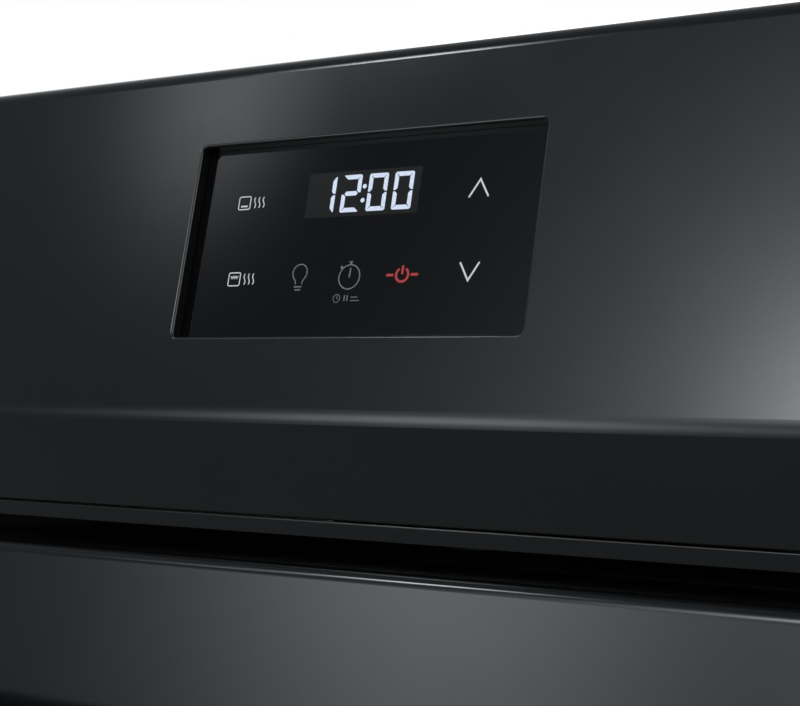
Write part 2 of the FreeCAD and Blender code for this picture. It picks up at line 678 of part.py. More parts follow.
def control_fascia():
    """Folded steel front with a sloping face, an undercut band, closed ends and rear flanges."""
    outer_bends = [0, TOP_RADIUS, BEND_RADIUS, LOW_RADIUS, 0]
    inner_bends = [0, TOP_RADIUS - SHEET, BEND_RADIUS - SHEET, LOW_RADIUS / 3, 0]
    inside = FRONT_HALF - SHEET
    shell = profile_x(fascia_outline(0), outer_bends, -FRONT_HALF, FRONT_HALF)
    shell = shell.cut(profile_x(fascia_outline(SHEET), inner_bends, -inside, inside))
    open_half = BODY_HALF - 4
    shell = shell.cut(block(-open_half, open_half, FASCIA_BACK - 2, 1, BAND_BOTTOM + 6, BODY_TOP - 6))
    shell = shell.cut(block(-110, 110, FASCIA_BACK - 2, 1, BAND_BOTTOM + 6, FACE_TOP_Z - 6))
    shell = shell.cut(block(-open_half, open_half, -30, FASCIA_BACK - 8, BAND_BOTTOM - 1, BAND_BOTTOM + 3))
    rim = plate(-PANEL_HALF - SHEET, PANEL_HALF + SHEET, PANEL_LOW - SHEET, PANEL_HIGH + SHEET,
                0.3, PANEL_WALL, PANEL_CORNER + SHEET)
    window = plate(-PANEL_HALF, PANEL_HALF, PANEL_LOW, PANEL_HIGH, -3, PANEL_WALL + 3, PANEL_CORNER)
    shell = shell.fuse(on_face(rim)).cut(on_face(window)).removeSplitter()
    return shell.makeFillet(PANEL_ROLL, window_edges(shell))


def window_edges(shell):
    """Edges of the control window that lie in the sloping face."""
    found = []
    for edge in shell.Edges:
        middle = edge.valueAt((edge.FirstParameter + edge.LastParameter) / 2)
        ends = [vertex.Point for vertex in edge.Vertexes]
        if all(on_window_outline(point) for point in ends + [middle]):
            found.append(edge)
    return found


def on_window_outline(point):
    """Whether a point lies in the sloping face and within the control window."""
    out = V(0, -math.cos(LEAN), math.sin(LEAN))
    upward = V(0, math.sin(LEAN), math.cos(LEAN))
    offset = point - V(0, BEND_Y, BEND_Z)
    up = offset.dot(upward)
    within = abs(point.x) < PANEL_HALF + 0.01 and PANEL_LOW - 0.01 < up < PANEL_HIGH + 0.01
    return within and abs(offset.dot(out)) < 0.01


def fascia_strip():
    """Slim lower edge of the fascia, in line with its band and folded back over the air slot."""
    lip_top = STRIP_BOTTOM + STRIP_HEIGHT
    slope = BAND_SET_BACK / BAND_HEIGHT
    front_top = BEND_Y + BAND_SET_BACK + SEAM * slope
    front_low = front_top + STRIP_HEIGHT * slope
    outline = [(front_low, STRIP_BOTTOM), (front_top, lip_top), (front_top + LIP_WALL, lip_top),
               (front_low + LIP_WALL, STRIP_BOTTOM + SHEET), (FASCIA_BACK, STRIP_BOTTOM + SHEET),
               (FASCIA_BACK, STRIP_BOTTOM)]
    return profile_x(outline, [0.5, 0.5, 0.6, 0.5, 0, 0], -FRONT_HALF + 1, FRONT_HALF - 1)


def fascia_bracket():
    """Right-hand bracket that ties the fascia to the casing side."""
    wall = block(266.9, 268.1, -28, 30, 590, 680)
    foot = block(250, 268.1, -28, -28 + SHEET, 590, 680)
    return joined([wall, foot])


def control_carrier():
    """Moulded tray behind the window: glass in front, display and board behind."""
    low = PANEL_LOW - GLASS_MARGIN - CARRIER_RIM
    high = PANEL_HIGH + GLASS_MARGIN + 5
    tray = plate(-CARRIER_HALF, CARRIER_HALF, low, high, 1.4, CARRIER_BACK, 3)
    half = PANEL_HALF + GLASS_MARGIN
    seat = plate(-half - 0.2, half + 0.2, PANEL_LOW - GLASS_MARGIN - 0.2, PANEL_HIGH + GLASS_MARGIN - 1.8,
                 0, GLASS_DEPTH + GLASS_THICK, 2)
    floor = GLASS_DEPTH + GLASS_THICK + 2
    pocket = plate(-half, half, PANEL_LOW - 5, PANEL_HIGH + 3, floor, CARRIER_BACK + 1, 2)
    gap = 0.3
    window = plate(DISPLAY_LEFT - gap, DISPLAY_RIGHT + gap, DISPLAY_LOW - gap, DISPLAY_HIGH + gap,
                   GLASS_DEPTH, BOARD_DEPTH, 0.5)
    return on_face(tray.cut(seat).cut(pocket).cut(window))


def control_glass():
    """Dark glass touch panel."""
    half = PANEL_HALF + GLASS_MARGIN
    return on_face(plate(-half, half, PANEL_LOW - GLASS_MARGIN, PANEL_HIGH + GLASS_MARGIN - 2,
                         GLASS_DEPTH, GLASS_DEPTH + GLASS_THICK - 0.1, 1.8))


def display_module():
    """Four-digit clock display."""
    return on_face(block(DISPLAY_LEFT, DISPLAY_RIGHT, GLASS_DEPTH + GLASS_THICK + 0.2, BOARD_DEPTH - 0.1,
                         DISPLAY_LOW, DISPLAY_HIGH))


def control_board():
    """Touch and display board with its chips and connector."""
    board = block(-76, 76, BOARD_DEPTH, BOARD_DEPTH + 1.6, PANEL_LOW - 2, PANEL_HIGH)
    back = BOARD_DEPTH + 1.5
    pieces = [board]
    chips = ((-50, 60, 14, 14, 2.2), (10, 55, 22, 10, 3), (48, 80, 12, 18, 5.5), (-20, 90, 8, 8, 4))
    for x, z, wide, tall, deep in chips:
        pieces.append(block(x, x + wide, back, back + deep, z, z + tall))
    return on_face(joined(pieces))


# ---- electrical parts ------------------------------------------------------------------
def power_board():
    """Relay board on posts, in the bay above the cavity."""
    z = 552
    board = block(-240, -130, 210, 350, z, z + 1.8)
    pieces = [board]
    for x in (-234, -136):
        for y in (216, 344):
            pieces.append(rod_z(3, 540, z + 0.5, x, y))
    for i in range(4):
        pieces.append(block(-232 + i * 25, -214 + i * 25, 226, 254, z + 1.5, z + 18))
    pieces.append(block(-226, -186, 276, 320, z + 1.5, z + 34))
    pieces.append(rod_z(8, z + 1.5, z + 26, -158, 296))
    return joined(pieces)


def junction_box():
    """Steel box on the rear cover where the supply conduit enters."""
    outer = block(130, 250, 470, CASE_REAR, 606, 700)
    inner = block(131.2, 248.8, 468, CASE_REAR + 1, 607.2, 698.8)
    return outer.cut(inner)


def terminal_block():
    """Three-way screw terminal on the floor of the junction box."""
    base = block(150, 232, 478, 500, 607.4, 620)
    pieces = [base]
    for i in range(4):
        pieces.append(block(150 + i * 26, 154 + i * 26, 478, 500, 619, 630))
    for i in range(3):
        pieces.append(rod_z(4, 619.5, 624, 165 + i * 26, 489))
    return joined(pieces)


def thermal_cutout():
    """Disc thermostat on the cavity roof's insulation."""
    z = 539
    return joined([block(60, 100, 290, 310, z, z + 1), rod_z(9, z + 0.5, z + 12, 80, 300),
                   block(76, 84, 297, 303, z + 11, z + 20)])


def wire_harness():
    """Bundle of wires from the control board to the relay board."""
    points = [V(-60, 8, 640), V(-60, 60, 690), V(-185, 60, 690), V(-185, 330, 690), V(-185, 330, 640),
              V(-210, 360, 600)]
    return wire_run(points, 4, 22)


# ---- door switch -----------------------------------------------------------------------
def door_switch_body():
    """Switch housing behind the front frame."""
    body = block(SWITCH_X - 6, SWITCH_X + 6, -1.8, 26, SWITCH_Z - 11, SWITCH_Z + 11)
    return body.cut(rod_y(PLUNGER_R + PLUNGER_FIT, -3, 20, SWITCH_X, SWITCH_Z))


def door_switch_plunger():
    """Sprung pin that the closed door holds in."""
    tip = DOOR_REAR + 0.4
    pin = rod_y(PLUNGER_R, tip, 12, SWITCH_X, SWITCH_Z)
    return pin.makeFillet(2, front_edges(pin, tip))


# ---- hinges -------------------------------------------------------------------------------
def hinge_receiver():
    """Right-hand socket behind the front frame that takes the hinge claw."""
    outer = block(HINGE_X - 6, HINGE_X + 6, -1.8, 50, PIVOT_Z - 16, PIVOT_Z + 11)
    return outer.cut(block(HINGE_X - 4, HINGE_X + 4, -3, 48, PIVOT_Z - 13, PIVOT_Z + 8.5))


def hinge_claw():
    """Flat steel arm fixed in the receiver, bored for the hinge pin."""
    x0 = HINGE_X - CLAW_THICK / 2
    x1 = HINGE_X + CLAW_THICK / 2
    eye = rod_x(CLAW_HALF_HEIGHT + 2, x0, x1, PIVOT_Y, PIVOT_Z)
    arm = block(x0, x1, PIVOT_Y, 40, PIVOT_Z - CLAW_HALF_HEIGHT, PIVOT_Z + CLAW_HALF_HEIGHT)
    hook = block(x0, x1, 4, 12, PIVOT_Z - 12, PIVOT_Z)
    notch = block(x0 - 1, x1 + 1, 20, 30, PIVOT_Z - 8, PIVOT_Z - 2)
    claw = joined([eye, arm, hook]).cut(notch)
    return claw.cut(rod_x(PIN_R + PIN_FIT, x0 - 1, x1 + 1, PIVOT_Y, PIVOT_Z))


def hinge_channel():
    """Right-hand channel inside the door, with a hole in each cheek for the pin."""
    low = DOOR_BOTTOM + 1.8
    outer = block(HINGE_X - 7, HINGE_X + 7, -47.2, -13, low, 284)
    channel = outer.cut(block(HINGE_X - 5.5, HINGE_X + 5.5, -46, -12, low - 1, 285))
    channel = channel.cut(block(HINGE_X - 8, HINGE_X + 8, -40, -12, 160, 270))
    return channel.cut(rod_x(PIN_R + 0.01, HINGE_X - 8, HINGE_X + 8, PIVOT_Y, PIVOT_Z))


def hinge_pins():
    """The two pins that the door turns on."""
    pin = rod_x(PIN_R, HINGE_X - 8, HINGE_X + 8, PIVOT_Y, PIVOT_Z)
    return Part.makeCompound([pin, flipped(pin)])


# ---- door ---------------------------------------------------------------------------------
def hinge_notches(half, low, high, y0, y1):
    """Cutters that let the fixed claws swing through the door's lower rear edge."""
    cutters = []
    for side in (-1, 1):
        x = side * HINGE_X
        cutters.append(block(x - half, x + half, y0, y1, low, high))
    return Part.makeCompound(cutters)


def pan(half, z0, z1, y_face, y_open, edge):
    """Shallow pressed pan with rounded edges around its flat face."""
    low = min(y_face, y_open)
    high = max(y_face, y_open)
    outer = block(-half, half, low, high, z0, z1)
    outer = outer.makeFillet(edge, front_edges(outer, y_face))
    into = SKIN if y_open > y_face else -SKIN
    far = y_open + into
    inner_low = min(y_face + into, far)
    inner_high = max(y_face + into, far)
    inner = block(-half + SKIN, half - SKIN, inner_low, inner_high, z0 + SKIN, z1 - SKIN)
    inner = inner.makeFillet(edge - SKIN + 0.4, front_edges(inner, y_face + into))
    return outer.cut(inner)


def door_front_panel():
    """Black outer skin of the door with the window opening."""
    skin = pan(DOOR_HALF, DOOR_BOTTOM, DOOR_TOP, DOOR_FRONT, DOOR_SPLIT, 5)
    skin = skin.cut(plate(-WINDOW_HALF, WINDOW_HALF, WINDOW_LOW, WINDOW_HIGH, -60, -50, WINDOW_CORNER))
    rim = [e for e in front_edges(skin, DOOR_FRONT) if all(abs(v.X) < WINDOW_HALF + 1 for v in e.Vertexes)
           and all(WINDOW_LOW - 1 < v.Z < WINDOW_HIGH + 1 for v in e.Vertexes)]
    skin = skin.makeFillet(WINDOW_ROLL, rim)
    return skin.cut(hinge_notches(5.5, DOOR_BOTTOM - 1, DOOR_BOTTOM + 3, -46, -20))


def door_liner():
    """Enamelled inner face of the door."""
    pan_open = DOOR_SPLIT + 0.5
    liner = pan(LINER_HALF, DOOR_BOTTOM + 3, DOOR_TOP - 3, DOOR_REAR, pan_open, 5)
    liner = liner.cut(plate(-190, 190, 204, 394, -12, -6, 10))
    for side in (-1, 1):
        for z in DOOR_SCREW_Z:
            liner = liner.cut(rod_y(SCREW_HOLE_R, DOOR_REAR - 3, DOOR_REAR + 1, side * DOOR_SCREW_X, z))
    return liner.cut(hinge_notches(7.5, DOOR_BOTTOM, PIVOT_Z + 11, -26, -6))


def door_insulation():
    """Blanket between the door's skins, around the window and the hinges."""
    wool = block(-280, 280, -49.8, -13, 99, 524)
    wool = wool.cut(block(-213.6, 213.6, -51, -10, 180.4, 417.6))
    for side in (-1, 1):
        x = side * HINGE_X
        wool = wool.cut(block(x - 8.5, x + 8.5, -51, -10, 90, 286))
    return wool


def window_glass_outer():
    """Tinted outer pane behind the opening in the front panel."""
    return plate(-213, 213, 181, 417, DOOR_FRONT + SKIN + 0.2, DOOR_FRONT + SKIN + 4.2, 4)


def window_glass_middle():
    """Middle heat-reflecting pane."""
    return plate(-210.5, 210.5, 183.5, 414.5, -36, -33, 2)


def window_glass_inner():
    """Inner pane against the liner."""
    return plate(-205, 205, 189, 409, -15.2, -10.9, 3)


def window_pack_frame():
    """Folded frame that spaces the three panes."""
    outer = plate(-212, 212, 182, 416, -50, -15.6, 3)
    inner = plate(-210.8, 210.8, 183.2, 414.8, -51, -15, 2)
    frame = outer.cut(inner)
    for y0, y1 in ((-32.8, -31.8), (-37.4, -36.4)):
        lip = plate(-211.5, 211.5, 182.5, 415.5, y0, y1, 3)
        frame = frame.fuse(lip.cut(plate(-203, 203, 191, 407, -51, -15, 2)))
    return frame.removeSplitter()


def handle_bar():
    """Straight round pull bar with softly rounded ends."""
    bar = rod_x(HANDLE_R, -HANDLE_HALF, HANDLE_HALF, HANDLE_Y, HANDLE_Z)
    return bar.makeFillet(4, [e for e in bar.Edges if len(e.Vertexes) == 1])


def handle_posts():
    """Two tapered posts that hold the bar off the door."""
    root = DOOR_FRONT - FIT
    post = Part.makeCone(13, 8.5, root - HANDLE_Y, V(POST_X, root, HANDLE_Z), -ALONG_Y)
    post = post.cut(rod_x(HANDLE_R + 0.05, 0, 300, HANDLE_Y, HANDLE_Z))
    post = max(post.Solids, key=lambda solid: solid.Volume)
    return Part.makeCompound([post, flipped(post)])


def door_screws():
    """Screws along the inner face of the door, at both sides of the window."""
    places = [V(side * DOOR_SCREW_X, DOOR_REAR, z) for side in (-1, 1) for z in DOOR_SCREW_Z]
    return Part.makeCompound([screw(place, ALONG_Y, DOOR_SCREW_LENGTH) for place in places])


def casing_screws():
    """Identical sheet-metal screws of the casing: front frame, base, rear cover and lid."""
    pieces = []
    for side in (-1, 1):
        x = side * SCREW_X
        for z in FRAME_SCREW_Z:
            pieces.append(screw(V(x, FLANGE_FRONT, z), -ALONG_Y, SCREW_LENGTH))
        for z in BACK_SCREW_Z:
            pieces.append(screw(V(x, BODY_BACK, z), ALONG_Y, SCREW_LENGTH))
        for y in TOP_SCREW_Y:
            pieces.append(screw(V(x, y, BODY_TOP), UP, SCREW_LENGTH))
        for y in BASE_SCREW_Y:
            pieces.append(screw(V(side * BODY_HALF, y, BASE_SCREW_Z), ALONG_X * side, SCREW_LENGTH))
    return Part.makeCompound(pieces)


def main():
    os.makedirs("parts", exist_ok=True)
    right_hand = {
        "side_panel": side_panel(),
        "side_trim": side_trim(),
        "fascia_bracket": fascia_bracket(),
        "hinge_receiver": hinge_receiver(),
        "hinge_claw": hinge_claw(),
        "hinge_channel": hinge_channel(),
    }
    single = [
        base_pan, back_panel, top_cover, front_frame, bottom_trim, oven_liner, insulation_wrap,
        door_gasket, bake_element, broil_element, temperature_sensor, lamp_housing, lamp_bulb,
        lamp_lens, oven_vent_tube, air_duct, blower_housing, blower_wheel, blower_motor,
        control_fascia, fascia_strip, control_carrier, control_glass, display_module, control_board,
        power_board, junction_box, terminal_block, thermal_cutout, wire_harness, door_switch_body,
        door_switch_plunger, door_front_panel, door_liner, door_insulation, window_glass_outer,
        window_glass_middle, window_glass_inner, window_pack_frame, handle_bar, handle_posts,
        hinge_pins, door_screws, casing_screws,
    ]
    shapes = {make.__name__: make() for make in single}
    for name, shape in right_hand.items():
        shapes[name + "_right"] = shape
        shapes[name + "_left"] = flipped(shape)
    shelf = rack(LEDGE_TOPS[0])
    for name, level in RACK_LEVELS.items():
        shapes[name] = shelf.copy()
        shapes[name].translate(V(0, 0, level - LEDGE_TOPS[0]))
    for name, shape in shapes.items():
        shape.exportStep("parts/" + name + ".step")


main()
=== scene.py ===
"""Looks of the built-in wall oven, in metres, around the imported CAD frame."""
import json
import math
import bmesh
import bpy
from mathutils import Matrix, Vector


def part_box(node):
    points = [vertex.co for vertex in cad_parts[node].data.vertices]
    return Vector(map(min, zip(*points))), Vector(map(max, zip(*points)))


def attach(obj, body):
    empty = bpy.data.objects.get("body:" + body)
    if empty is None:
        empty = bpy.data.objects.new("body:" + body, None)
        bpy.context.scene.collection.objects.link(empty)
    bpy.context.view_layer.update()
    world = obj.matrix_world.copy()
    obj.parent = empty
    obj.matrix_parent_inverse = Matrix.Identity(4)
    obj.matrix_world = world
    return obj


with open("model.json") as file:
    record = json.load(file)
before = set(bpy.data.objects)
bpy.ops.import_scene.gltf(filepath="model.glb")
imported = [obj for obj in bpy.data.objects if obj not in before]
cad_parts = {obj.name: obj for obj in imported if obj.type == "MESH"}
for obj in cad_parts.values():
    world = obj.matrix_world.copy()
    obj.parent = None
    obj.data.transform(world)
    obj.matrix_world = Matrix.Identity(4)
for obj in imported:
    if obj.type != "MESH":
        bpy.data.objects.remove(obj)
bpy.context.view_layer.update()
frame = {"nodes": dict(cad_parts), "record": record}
MM = 0.001

# ---- the leaning face of the control fascia -----------------------------------------
FASCIA_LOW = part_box("control_fascia")[0]
BAND_HEIGHT = 38 * MM       # band under the bend
LEAN = math.radians(14.2)
BEND_Y = -59.5 * MM
BEND_Z = FASCIA_LOW.z + BAND_HEIGHT
GLASS_DEPTH = 5.5 * MM      # front of the panel glass behind the face
FACE_OUT = Vector((0, -math.cos(LEAN), math.sin(LEAN)))
FACE_UP = Vector((0, math.sin(LEAN), math.cos(LEAN)))


def face_point(x, up, depth=0.0):
    """Point on the leaning face: x across, up the slope from the bend, depth into the oven."""
    return Vector((x, BEND_Y, BEND_Z)) + FACE_UP * up - FACE_OUT * depth


# ---- material helpers ------------------------------------------------------------
def new_material(name):
    """Empty node material with its Principled shader."""
    material = bpy.data.materials.new(name)
    material.use_nodes = True
    tree = material.node_tree
    tree.nodes.clear()
    output = tree.nodes.new("ShaderNodeOutputMaterial")
    shader = tree.nodes.new("ShaderNodeBsdfPrincipled")
    tree.links.new(shader.outputs["BSDF"], output.inputs["Surface"])
    return material, tree, shader


def coordinates(tree, scale=(1, 1, 1)):
    """Object coordinates, stretched per axis."""
    source = tree.nodes.new("ShaderNodeTexCoord")
    mapping = tree.nodes.new("ShaderNodeMapping")
    mapping.inputs["Scale"].default_value = scale
    tree.links.new(source.outputs["Object"], mapping.inputs["Vector"])
    return mapping.outputs["Vector"]


def noise(tree, vector, scale, detail=3.0, rough=0.5):
    """Noise factor at a scale in cycles per metre."""
    node = tree.nodes.new("ShaderNodeTexNoise")
    node.inputs["Scale"].default_value = scale
    node.inputs["Detail"].default_value = detail
    node.inputs["Roughness"].default_value = rough
    tree.links.new(vector, node.inputs["Vector"])
    return node.outputs["Fac"]


def ramp(tree, factor, stops):
    """Colour ramp through (position, colour) stops."""
    node = tree.nodes.new("ShaderNodeValToRGB")
    elements = node.color_ramp.elements
    while len(elements) < len(stops):
        elements.new(0.5)
    for element, (position, colour) in zip(elements, stops):
        element.position = position
        element.color = (*colour, 1.0)
    tree.links.new(factor, node.inputs["Fac"])
    return node.outputs["Color"]


def spread(tree, factor, low, high):
    """Number between low and high as the factor goes from 0 to 1."""
    node = tree.nodes.new("ShaderNodeMapRange")
    node.inputs["To Min"].default_value = low
    node.inputs["To Max"].default_value = high
    tree.links.new(factor, node.inputs["Value"])
    return node.outputs["Result"]


def math_node(tree, operation, first, second):
    """One sum on two values, each a number or a socket."""
    node = tree.nodes.new("ShaderNodeMath")
    node.operation = operation
    for socket, value in zip(node.inputs, (first, second)):
        if isinstance(value, (int, float)):
            socket.default_value = value
        else:
            tree.links.new(value, socket)
    return node.outputs["Value"]


def colour_by(tree, shader, factor, stops):
    """Base colour that follows a factor through colour stops."""
    tree.links.new(ramp(tree, factor, stops), shader.inputs["Base Color"])


def rough_by(tree, shader, factor, low, high):
    """Roughness that follows a factor between two values."""
    tree.links.new(spread(tree, factor, low, high), shader.inputs["Roughness"])


def bump(tree, shader, height, strength, distance):
    """Bump from a height factor, distance in metres."""
    node = tree.nodes.new("ShaderNodeBump")
    node.inputs["Strength"].default_value = strength
    node.inputs["Distance"].default_value = distance
    tree.links.new(height, node.inputs["Height"])
    tree.links.new(node.outputs["Normal"], shader.inputs["Normal"])


def painted_black(name, colour, roughness, ripple):
    """Smooth sprayed paint: faint orange peel and cloudy gloss."""
    material, tree, shader = new_material(name)
    vector = coordinates(tree)
    lighter = tuple(c * 1.25 for c in colour)
    colour_by(tree, shader, noise(tree, vector, 9.0, 2.0), [(0.3, colour), (0.75, lighter)])
    rough_by(tree, shader, noise(tree, vector, 35.0, 4.0), roughness - 0.02, roughness + 0.03)
    bump(tree, shader, noise(tree, vector, 420.0, 2.0), ripple, 0.00012)
    return material


def galvanised():
    """Zinc-coated sheet with its spangle."""
    material, tree, shader = new_material("galvanised_sheet")
    vector = coordinates(tree)
    cells = tree.nodes.new("ShaderNodeTexVoronoi")
    cells.inputs["Scale"].default_value = 130.0
    cells.inputs["Randomness"].default_value = 1.0
    tree.links.new(vector, cells.inputs["Vector"])
    grey = tree.nodes.new("ShaderNodeRGBToBW")
    tree.links.new(cells.outputs["Color"], grey.inputs["Color"])
    tone = grey.outputs["Val"]
    colour_by(tree, shader, tone, [(0.1, (0.36, 0.37, 0.38)), (0.9, (0.47, 0.48, 0.49))])
    rough_by(tree, shader, tone, 0.36, 0.46)
    shader.inputs["Metallic"].default_value = 0.9
    bump(tree, shader, noise(tree, vector, 14.0, 3.0), 0.15, 0.0006)
    return material


def speckled_enamel():
    """Dark blue-black oven enamel with fine pale specks."""
    material, tree, shader = new_material("speckled_enamel")
    vector = coordinates(tree)
    cells = tree.nodes.new("ShaderNodeTexVoronoi")
    cells.inputs["Scale"].default_value = 520.0
    tree.links.new(vector, cells.inputs["Vector"])
    speck, halo, ground = (0.50, 0.53, 0.58), (0.22, 0.24, 0.28), (0.020, 0.024, 0.036)
    colour_by(tree, shader, cells.outputs["Distance"], [(0.0, speck), (0.16, halo), (0.26, ground)])
    rough_by(tree, shader, noise(tree, vector, 25.0), 0.10, 0.24)
    shader.inputs["Coat Weight"].default_value = 0.4
    shader.inputs["Coat Roughness"].default_value = 0.08
    bump(tree, shader, noise(tree, vector, 60.0, 3.0), 0.12, 0.0006)
    return material


def mineral_wool():
    """Matted brown fibre."""
    material, tree, shader = new_material("mineral_wool")
    strands = noise(tree, coordinates(tree, (1, 1, 5)), 160.0, 6.0, 0.7)
    colour_by(tree, shader, strands, [(0.3, (0.11, 0.09, 0.05)), (0.7, (0.30, 0.26, 0.17))])
    shader.inputs["Roughness"].default_value = 0.95
    bump(tree, shader, strands, 0.8, 0.003)
    return material


BRAID_TURN = 0.8            # radians that each set of strands leans


def woven(name, dark, light, pitch):
    """Braided sleeve: two crossing waves."""
    material, tree, shader = new_material(name)
    vector = coordinates(tree)
    waves = []
    for tilt in (1, -1):
        turn = tree.nodes.new("ShaderNodeMapping")
        turn.inputs["Rotation"].default_value = [tilt * BRAID_TURN] * 3
        tree.links.new(vector, turn.inputs["Vector"])
        wave = tree.nodes.new("ShaderNodeTexWave")
        wave.inputs["Scale"].default_value = 1.0 / (math.tau * pitch)
        tree.links.new(turn.outputs["Vector"], wave.inputs["Vector"])
        waves.append(wave.outputs["Fac"])
    strands = math_node(tree, "MAXIMUM", *waves)
    colour_by(tree, shader, strands, [(0.2, dark), (0.9, light)])
    shader.inputs["Roughness"].default_value = 0.85
    bump(tree, shader, strands, 0.7, 0.0008)
    return material


def steel(name, colour, roughness, grain=(1, 1, 1), stain=None):
    """Bare or plated steel with a fine grain."""
    material, tree, shader = new_material(name)
    vector = coordinates(tree, grain)
    lines = noise(tree, vector, 300.0, 3.0)
    darker = tuple(c * 0.8 for c in colour)
    patches = noise(tree, coordinates(tree), 22.0, 4.0)
    colour_by(tree, shader, patches, [(0.3, stain or darker), (0.7, colour)])
    shader.inputs["Metallic"].default_value = 1.0
    rough_by(tree, shader, lines, roughness - 0.06, roughness + 0.08)
    bump(tree, shader, lines, 0.12, 0.0001)
    return material


def chrome():
    """Bright plated wire with a slight heat tint."""
    material, tree, shader = new_material("rack_chrome")
    vector = coordinates(tree)
    tinted, bright = (0.62, 0.60, 0.56), (0.82, 0.82, 0.83)
    colour_by(tree, shader, noise(tree, vector, 12.0, 3.0), [(0.35, tinted), (0.65, bright)])
    shader.inputs["Metallic"].default_value = 1.0
    rough_by(tree, shader, noise(tree, vector, 80.0), 0.08, 0.2)
    bump(tree, shader, noise(tree, vector, 300.0, 2.0), 0.05, 0.0001)
    return material


def element_sheath():
    """Oxidised heater sheath, grey-brown with darker patches."""
    material, tree, shader = new_material("element_sheath")
    vector = coordinates(tree)
    sooty, grey, brown = (0.05, 0.045, 0.042), (0.13, 0.115, 0.10), (0.20, 0.16, 0.13)
    patches = noise(tree, vector, 18.0, 5.0, 0.6)
    colour_by(tree, shader, patches, [(0.3, sooty), (0.55, grey), (0.8, brown)])
    shader.inputs["Metallic"].default_value = 0.7
    rough_by(tree, shader, noise(tree, vector, 90.0), 0.4, 0.62)
    bump(tree, shader, noise(tree, vector, 700.0, 2.0), 0.25, 0.0002)
    return material


def plastic(name, colour, roughness):
    """Moulded plastic with a fine spark-eroded grain."""
    material, tree, shader = new_material(name)
    vector = coordinates(tree)
    lighter = tuple(min(1.0, c * 1.3 + 0.004) for c in colour)
    colour_by(tree, shader, noise(tree, vector, 40.0), [(0.35, colour), (0.7, lighter)])
    rough_by(tree, shader, noise(tree, vector, 200.0), roughness - 0.05, roughness + 0.06)
    bump(tree, shader, noise(tree, vector, 1500.0, 2.0), 0.25, 0.00008)
    return material


def board_laminate():
    """Green lacquered board with faint tracks."""
    material, tree, shader = new_material("board_laminate")
    vector = coordinates(tree)
    tracks = tree.nodes.new("ShaderNodeTexBrick")
    tracks.inputs["Scale"].default_value = 60.0
    tracks.inputs["Color1"].default_value = (0.012, 0.14, 0.06, 1)
    tracks.inputs["Color2"].default_value = (0.02, 0.19, 0.09, 1)
    tracks.inputs["Mortar"].default_value = (0.01, 0.08, 0.04, 1)
    tree.links.new(vector, tracks.inputs["Vector"])
    tree.links.new(tracks.outputs["Color"], shader.inputs["Base Color"])
    rough_by(tree, shader, noise(tree, vector, 90.0), 0.25, 0.4)
    bump(tree, shader, tracks.outputs["Fac"], 0.2, 0.0001)
    return material


def clear_glass(name, colour, roughness, alpha, gloss=0.5):
    """Thin glazing, let through by its alpha, with a surface reflection of its gloss."""
    material, tree, shader = new_material(name)
    vector = coordinates(tree)
    lighter = tuple(c * 1.15 for c in colour)
    colour_by(tree, shader, noise(tree, vector, 6.0, 2.0), [(0.3, colour), (0.8, lighter)])
    rough_by(tree, shader, noise(tree, vector, 15.0), roughness, roughness + 0.03)
    shader.inputs["Alpha"].default_value = alpha
    shader.inputs["IOR"].default_value = 1.5
    shader.inputs["Specular IOR Level"].default_value = gloss
    bump(tree, shader, noise(tree, vector, 4.0, 1.0), 0.02, 0.0004)
    return material


def printed(name, colour, glow):
    """Screen print or lit segment seen through the panel glass; the glow is real light for the lit
    segment and painted glow for the screen prints.
    """
    material, tree, shader = new_material(name)
    vector = coordinates(tree)
    darker = tuple(c * 0.86 for c in colour)
    shade = ramp(tree, noise(tree, vector, 900.0, 2.0), [(0.3, darker), (0.7, colour)])
    tree.links.new(shade, shader.inputs["Base Color"])
    tree.links.new(shade, shader.inputs["Emission Color"])
    # emission: real light for the lit segment, painted glow for the screen prints
    shader.inputs["Emission Strength"].default_value = glow
    shader.inputs["Roughness"].default_value = 0.5
    return material


MATERIALS = {
    "casing_steel": galvanised(),
    "black_enamel": painted_black("black_enamel", (0.0036, 0.0037, 0.0040), 0.12, 0.05),
    "cavity_enamel": speckled_enamel(),
    "mineral_wool": mineral_wool(),
    "woven_seal": woven("woven_seal", (0.03, 0.03, 0.03), (0.22, 0.22, 0.22), 0.0016),
    "element_sheath": element_sheath(),
    "bright_steel": steel("bright_steel", (0.62, 0.62, 0.63), 0.26),
    "clear_glass": clear_glass("clear_glass", (0.75, 0.80, 0.80), 0.02, 0.18),
    "dark_glass": clear_glass("dark_glass", (0.002, 0.002, 0.0025), 0.05, 0.93, 0.27),
    "fan_aluminium": steel("fan_aluminium", (0.75, 0.75, 0.77), 0.35, (1, 8, 8)),
    "motor_iron": steel("motor_iron", (0.20, 0.20, 0.22), 0.5, (20, 1, 1), (0.10, 0.07, 0.05)),
    "black_plastic": plastic("black_plastic", (0.008, 0.008, 0.009), 0.5),
    "switch_plastic": plastic("switch_plastic", (0.62, 0.60, 0.54), 0.45),
    "board_laminate": board_laminate(),
    "wire_sleeve": plastic("wire_sleeve", (0.03, 0.03, 0.032), 0.6),
    "handle_black": painted_black("handle_black", (0.005, 0.005, 0.0055), 0.26, 0.06),
    "hinge_steel": steel("hinge_steel", (0.48, 0.47, 0.43), 0.34, (1, 1, 1), (0.30, 0.28, 0.23)),
    "rack_chrome": chrome(),
}


def dress_cad_nodes():
    """Gives each CAD node the full material of its slot, then paints the air duct flat black as
    painted shade in the vent gap.
    """
    for part in frame["record"]["subparts"]:
        node = frame["nodes"].get(part["node"])
        if node is None:
            continue
        node.data.materials.clear()
        node.data.materials.append(MATERIALS[part["material_slot"]])
    # the air duct gets flat black plastic in place of its slot, so the vent gap behind the door
    # reads dark: painted shade
    duct = frame["nodes"]["air_duct"].data
    duct.materials.clear()
    duct.materials.append(plastic("duct_painted_shade_black", (0.012, 0.012, 0.012), 0.75))


